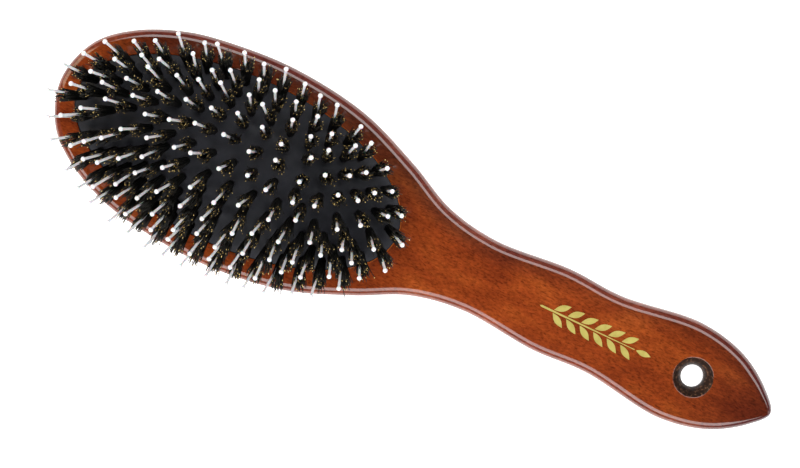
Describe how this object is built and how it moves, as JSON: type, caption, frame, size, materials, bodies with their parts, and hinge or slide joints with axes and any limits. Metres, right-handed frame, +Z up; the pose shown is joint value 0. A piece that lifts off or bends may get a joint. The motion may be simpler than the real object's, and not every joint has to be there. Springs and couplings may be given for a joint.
{
  "type": "vanity hairbrush",
  "caption": "Paddle hairbrush with a lacquered wooden body, an air-cushioned rubber pad, and ball-tipped pins that each rise out of a bristle tuft; the pad gives when pressed.",
  "frame": {"origin": "centre of the bounding box's bottom face: under the middle of the brush, on the flat back that it lies on", "axes": "+X along the brush towards the handle tip, +Y across it, +Z up out of the bristles"},
  "size_m": [0.234, 0.0667, 0.036],
  "materials": {
    "lacquered_wood": "stained reddish brown under clear gloss lacquer",
    "black_rubber": "satin",
    "gold_foil": "hot-stamped foil, satin",
    "white_nylon": "white nylon, gloss",
    "boar_bristle": "black bristle with amber tips",
    "staple_steel": "plain wire"
  },
  "bodies": {
    "root": {"wooden_body": "lacquered_wood", "cushion_pad": "black_rubber", "foil_ornament": "gold_foil"},
    "ring_1": {"pins_ring_1": "white_nylon", "tufts_ring_1": "boar_bristle", "anchors_ring_1": "staple_steel"},
    "ring_2": {"pins_ring_2": "white_nylon", "tufts_ring_2": "boar_bristle", "anchors_ring_2": "staple_steel"},
    "ring_3": {"pins_ring_3": "white_nylon", "tufts_ring_3": "boar_bristle", "anchors_ring_3": "staple_steel"},
    "ring_4": {"pins_ring_4": "white_nylon", "tufts_ring_4": "boar_bristle", "anchors_ring_4": "staple_steel"},
    "ring_5": {"pins_ring_5": "white_nylon", "tufts_ring_5": "boar_bristle", "anchors_ring_5": "staple_steel"},
    "row": {"pins_row": "white_nylon", "tufts_row": "boar_bristle", "anchors_row": "staple_steel"}
  },
  "joints": [
    {"name": "cushion_press", "type": "slide", "parent": "root", "child": "row", "axis": [0, 0, -1], "range_m": [0, 0.00491], "stiffness_N_per_m": 1500, "deforming": ["cushion_pad"]},
    {"name": "ring_1_press", "type": "slide", "parent": "root", "child": "ring_1", "axis": [0, 0, -1], "range_m": [0, 0.00092]},
    {"name": "ring_2_press", "type": "slide", "parent": "root", "child": "ring_2", "axis": [0, 0, -1], "range_m": [0, 0.00201]},
    {"name": "ring_3_press", "type": "slide", "parent": "root", "child": "ring_3", "axis": [0, 0, -1], "range_m": [0, 0.00295]},
    {"name": "ring_4_press", "type": "slide", "parent": "root", "child": "ring_4", "axis": [0, 0, -1], "range_m": [0, 0.0038]},
    {"name": "ring_5_press", "type": "slide", "parent": "root", "child": "ring_5", "axis": [0, 0, -1], "range_m": [0, 0.00453]}
  ],
  "couplings": [
    {"joint": "ring_1_press", "follows": "cushion_press", "ratio": 0.1833},
    {"joint": "ring_2_press", "follows": "cushion_press", "ratio": 0.4053},
    {"joint": "ring_3_press", "follows": "cushion_press", "ratio": 0.5967},
    {"joint": "ring_4_press", "follows": "cushion_press", "ratio": 0.7699},
    {"joint": "ring_5_press", "follows": "cushion_press", "ratio": 0.9185}
  ]
}
